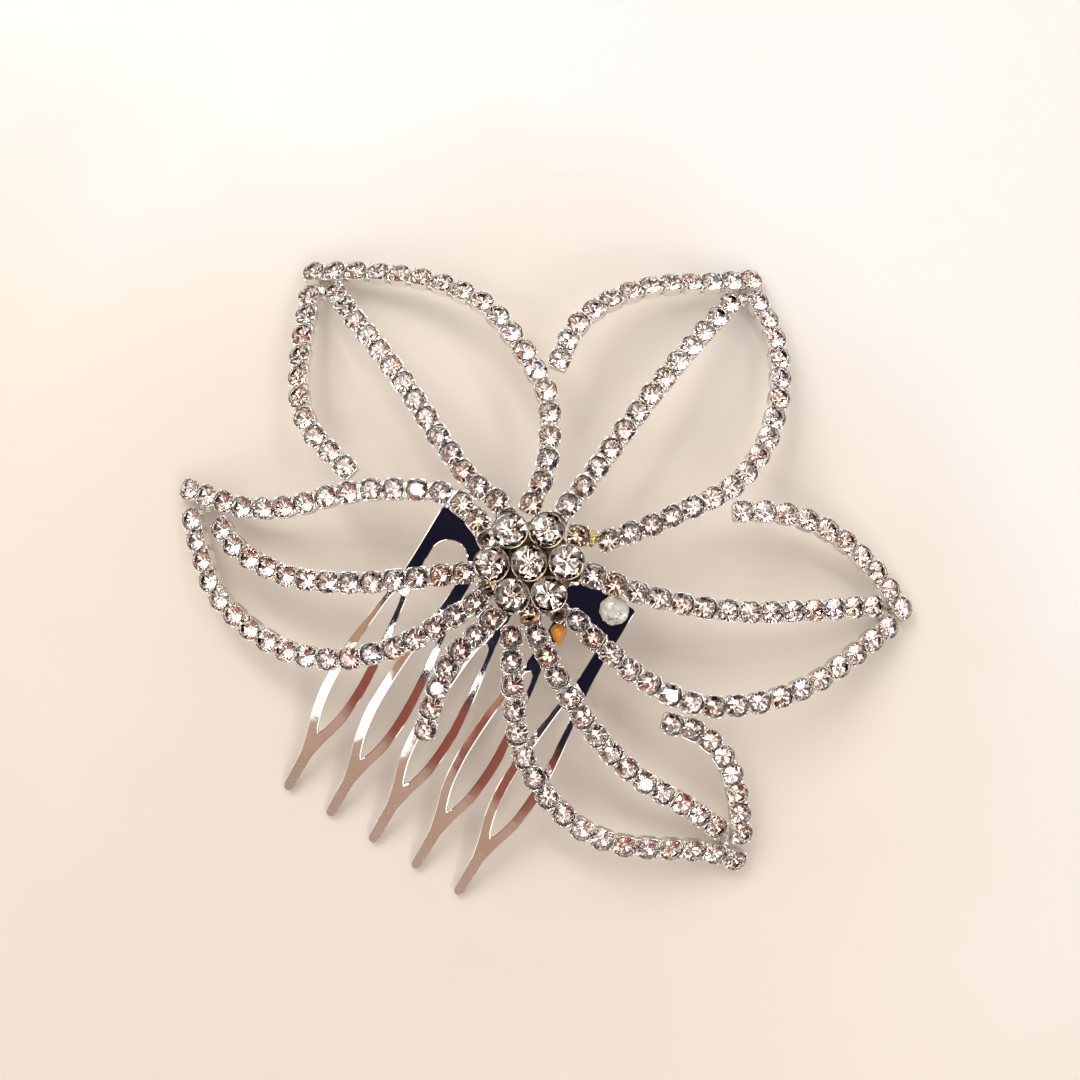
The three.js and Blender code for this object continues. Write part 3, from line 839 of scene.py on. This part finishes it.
def hub_fill():
    """The solder at the hub: a wide foot on the bar, and a core that carries the round settings."""
    low, high = (Vector(c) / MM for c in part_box("hub_solder"))
    foot, tall = (high.x - low.x) / 2, high.z - low.z
    middle = Vector(((low.x + high.x) / 2, (low.y + high.y) / 2, low.z))
    profile = [
        (0.02, 0.0), (foot * 0.75, 0.0), (foot * 0.97, 0.2), (foot * 0.98, 0.42), (foot * 0.86, 0.64),
        (foot * 0.66, 0.8), (foot * 0.6, 1.2), (foot * 0.58, tall * 0.7), (foot * 0.5, tall), (0.02, tall),
    ]
    bm = bmesh.new()
    turn(bm, Matrix.Scale(MM, 4) @ Matrix.Translation(middle), profile, sides=64)
    for v in bm.verts:
        d = v.co / MM
        outwards = Vector((d.x - middle.x, d.y - middle.y, 0))
        v.co += outwards * MM * 0.05 * noise.noise(d * 0.9)
    piece("hub_solder_fill", bm, ["solder_with_painted_shade"], ["hub_solder"], smooth_angle=60)


def tips():
    """The solder that joins the strips at each petal's tip."""
    for number in range(1, 6):
        name = f"petal_{number}_tip"
        fill, node = f"{name}_fill", f"{name}_solder"
        lump(fill, node, "solder", roundness=2.2, uneven=0.16, grow=0.64)


def amber_bead():
    """A teardrop along the CAD drop's own long axis."""
    verts = np.array([v.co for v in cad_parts["amber_drop"].data.vertices])
    middle = verts.mean(axis=0)
    axis = np.linalg.svd(verts - middle)[2][0]
    along = (verts - middle) @ axis
    width = np.linalg.norm((verts - middle) - np.outer(along, axis), axis=1)
    if along[width.argmax()] > 0:
        axis, along = -axis, -along
    centre, up = Vector(middle), Vector(axis)
    turned = up.to_track_quat("Z", "Y").to_matrix().to_4x4()
    place = Matrix.Translation(centre) @ turned @ Matrix.Scale(MM, 4)
    start, end, radius = along.min() / MM, along.max() / MM, width.max() / MM
    profile = []
    for k in range(25):
        t = k / 24
        r = 1.2 * radius * (math.sin(math.pi * t**0.7) ** 0.9) * (1 - 0.2 * t)
        profile.append((max(r, 0.01), start + (end - start) * t))
    bm = bmesh.new()
    turn(bm, place, profile, sides=40)
    piece("amber_bead", bm, ["amber"], ["amber_drop"], smooth_angle=60)


def brass_bridge():
    """The brass lump, drawn out across the gap between the single cup and the strip beside it."""
    towards = middle_of("brass_link") - middle_of("hub_cup")
    across = Vector((-towards.y, towards.x, 0)).normalized()
    drawn = across * 0.8
    name, node = "brass_bridge", "brass_link"
    lump(name, node, "brass", roundness=2.6, uneven=0.3, grow=1.9, stretch=drawn)


def glue_dab():
    upright = Vector((0, 0, 1.0))
    lump("glue_dab", "clear_dab", "glue", roundness=2.0, uneven=0.09, stretch=upright)


hub_fill()
tips()
brass_bridge()
amber_bead()
glue_dab()


# ---- camera, floor and light ---------------------------------------------------------------------------
AZIMUTH, ELEVATION = math.radians(31.2), math.radians(84)
DISTANCE = 0.270
LENS = 59.13
AIM = (0.08, -1.63, 10.82)  # the point that the camera looks at, in millimetres

FLOOR_HALF = 15.0  # metres, so that its edge isn't seen from low down
FLOOR_BELOW = 0.00005  # metres; keeps the floor just clear of the teeth's tips
GLINTS = 12


def camera():
    """Almost straight above the flower, turned so that the comb points down and to the left."""
    back = Vector((
        math.sin(AZIMUTH) * math.cos(ELEVATION),
        -math.cos(AZIMUTH) * math.cos(ELEVATION),
        math.sin(ELEVATION),
    ))
    aim = Vector(AIM) * MM
    data = bpy.data.cameras.new("camera")
    data.lens = LENS
    data.sensor_width = 36
    data.clip_start = 0.005
    data.clip_end = 50
    made = bpy.data.objects.new("camera", data)
    right = Vector((math.cos(AZIMUTH), math.sin(AZIMUTH), 0))
    turned = Matrix((right, back.cross(right), back)).transposed().to_4x4()
    made.matrix_world = Matrix.Translation(aim + back * DISTANCE) @ turned
    bpy.context.scene.collection.objects.link(made)
    bpy.context.scene.camera = made


def floor():
    """A plain warm floor with a painted soft shadow: darker and warmer near the comb and towards -Y,
    lighter away from it, and almost white at the horizon.
    """
    bm = bmesh.new()
    bmesh.ops.create_grid(bm, x_segments=1, y_segments=1, size=FLOOR_HALF)
    mesh = bpy.data.meshes.new("floor")
    bm.to_mesh(mesh)
    bm.free()
    s = Shader("floor_satin", Specular_IOR_Level=0.3)
    reach = s.node("ShaderNodeVectorMath", operation="LENGTH")
    s.link(s.place, reach.inputs[0])
    across = s.node("ShaderNodeSeparateXYZ")
    s.link(s.place, across.inputs[0])
    # painted shadow: darker near the comb and towards -Y; the noise only varies the tone at random
    far = s.range(reach.outputs["Value"], 0.0, 0.3, 0.04, 0.085)
    painted_shadow_and_tone = s.maths("ADD", far, s.range(across.outputs["Y"], 0.0, 0.9, -0.08, 0.08))
    painted_shadow_and_tone = s.maths("ADD", painted_shadow_and_tone, s.range(s.noise(14, 3), -0.12, 0.12, 0.3, 0.7))
    tints = [
        (0.25, (0.665, 0.605, 0.54)),
        (0.55, (0.705, 0.65, 0.58)),
        (0.8, (0.73, 0.695, 0.655)),
        (1.0, (0.76, 0.755, 0.755)),
    ]
    horizon = s.range(reach.outputs["Value"], 0.0, 1.0, 0.25, 1.6)
    s.colour(s.mix(horizon, s.ramp(painted_shadow_and_tone, tints), (0.96, 0.95, 0.94)))
    s.rough(s.range(s.noise(60, 3), 0.42, 0.5))
    mesh.materials.append(s.material)
    made = bpy.data.objects.new("floor", mesh)
    made.location.z = -FLOOR_BELOW
    bpy.context.scene.collection.objects.link(made)


def sky():
    """A pale room. High up it is patchy, like a ceiling with lamps and someone leaning over the comb."""
    world = bpy.data.worlds.new("room")
    bpy.context.scene.world = world
    world.use_nodes = True
    tree = world.node_tree
    background = tree.nodes["Background"]

    def node(kind, **values):
        made = tree.nodes.new(kind)
        for name, value in values.items():
            setattr(made, name, value)
        return made

    direction = node("ShaderNodeTexCoord").outputs["Generated"]

    def spot(towards, inner, outer):
        """1 inside a cone about a direction, 0 outside a wider one; both are given in degrees."""
        dot = node("ShaderNodeVectorMath", operation="DOT_PRODUCT")
        dot.inputs[1].default_value = Vector(towards).normalized()
        tree.links.new(direction, dot.inputs[0])
        share = node("ShaderNodeMapRange", interpolation_type="SMOOTHSTEP")
        tree.links.new(dot.outputs["Value"], share.inputs["Value"])
        share.inputs["From Min"].default_value = math.cos(math.radians(outer))
        share.inputs["From Max"].default_value = math.cos(math.radians(inner))
        return share.outputs["Result"]

    def mix(share, first, second):
        made = node("ShaderNodeMix", data_type="RGBA")
        sockets = made.inputs[0], made.inputs[6], made.inputs[7]
        for socket, value in zip(sockets, (share, first, second)):
            if isinstance(value, tuple):
                socket.default_value = (*value, 1.0)
            else:
                tree.links.new(value, socket)
        return made.outputs[2]

    texture = node("ShaderNodeTexNoise")
    texture.inputs["Scale"].default_value = 4.2
    texture.inputs["Detail"].default_value = 2.5
    texture.inputs["Roughness"].default_value = 0.6
    tree.links.new(direction, texture.inputs["Vector"])
    patches = node("ShaderNodeValToRGB")
    tree.links.new(texture.outputs["Fac"], patches.inputs["Fac"])
    stops = [
        (0.43, (0.045, 0.022, 0.018)),
        (0.49, (0.26, 0.16, 0.13)),
        (0.55, (0.70, 0.56, 0.50)),
        (0.60, (3.2, 3.1, 3.0)),
    ]
    elements = patches.color_ramp.elements
    while len(elements) < len(stops):
        elements.new(0.5)
    for element, (position, colour) in zip(elements, stops):
        element.position = position
        element.color = (*colour, 1.0)

    pale = (1.35, 1.31, 1.25)
    high_up = spot((0, 0, 1), 66, 80)
    colour = mix(high_up, pale, patches.outputs["Color"])
    spots = [  # direction, inner and outer angle, colour: wide patches that the comb mirrors
        ((0.05, -1.10, 1), 11, 17, (0.64, 0.44, 0.34)),
        ((0.10, -0.71, 1), 4, 8, (0.36, 0.11, 0.08)),
        ((-0.02, -0.18, 1), 18, 22, (0.012, 0.011, 0.028)),
        ((-0.27, -0.49, 1), 3.5, 6, (0.60, 0.40, 0.24)),
    ]
    for towards, inner, outer, tint in spots:
        colour = mix(spot(towards, inner, outer), colour, tint)
    streaks = [  # lean to the side, leans away, colour: rows of small spots that the teeth's arms mirror
        (-0.185, (0.47, 0.57, 0.66), (0.66, 0.29, 0.21)),
        (-0.14, (0.62, 0.70, 0.78), (0.38, 0.12, 0.09)),
        (-0.30, (0.70, 0.80, 0.90), (2.6, 2.5, 2.35)),
    ]
    for aside, leans, tint in streaks:
        for away in leans:
            colour = mix(spot((aside, -away, 1), 2.2, 3.6), colour, tint)
    tree.links.new(colour, background.inputs["Color"])
    background.inputs["Strength"].default_value = 0.85


def lamp(name, towards, distance, size, power, colour=(1, 1, 1)):
    """A square soft box that looks at the flower."""
    data = bpy.data.lights.new(name, "AREA")
    data.size = size
    data.energy = power
    data.color = colour
    made = bpy.data.objects.new(name, data)
    away = Vector(towards).normalized()
    turned = away.to_track_quat("Z", "Y").to_matrix().to_4x4()
    made.matrix_world = Matrix.Translation(away * distance) @ turned
    bpy.context.scene.collection.objects.link(made)


def lamps():
    """Two large soft boxes for the shade, and small lamps all round for the stones' sparkle."""
    warm, warmer = (1.0, 0.96, 0.91), (1.0, 0.95, 0.90)
    lamp("soft_window", (-0.9, 0.35, 1.1), distance=0.9, size=0.55, power=4.2, colour=warm)
    lamp("soft_fill", (0.8, -0.6, 1.2), distance=1.0, size=0.5, power=2.0, colour=warmer)
    rng = random.Random(11)
    for number in range(GLINTS):
        around = 2 * math.pi * (number + rng.uniform(-0.3, 0.3)) / GLINTS
        up = rng.uniform(0.9, 2.6)
        towards = (math.cos(around), math.sin(around), up)
        lamp(f"glint_{number + 1}", towards, distance=0.8, size=0.045, power=0.16)


camera()
floor()
sky()
lamps()
view = bpy.context.scene.view_settings
view.view_transform = "Standard"
view.look = "None"
view.exposure = 0.0
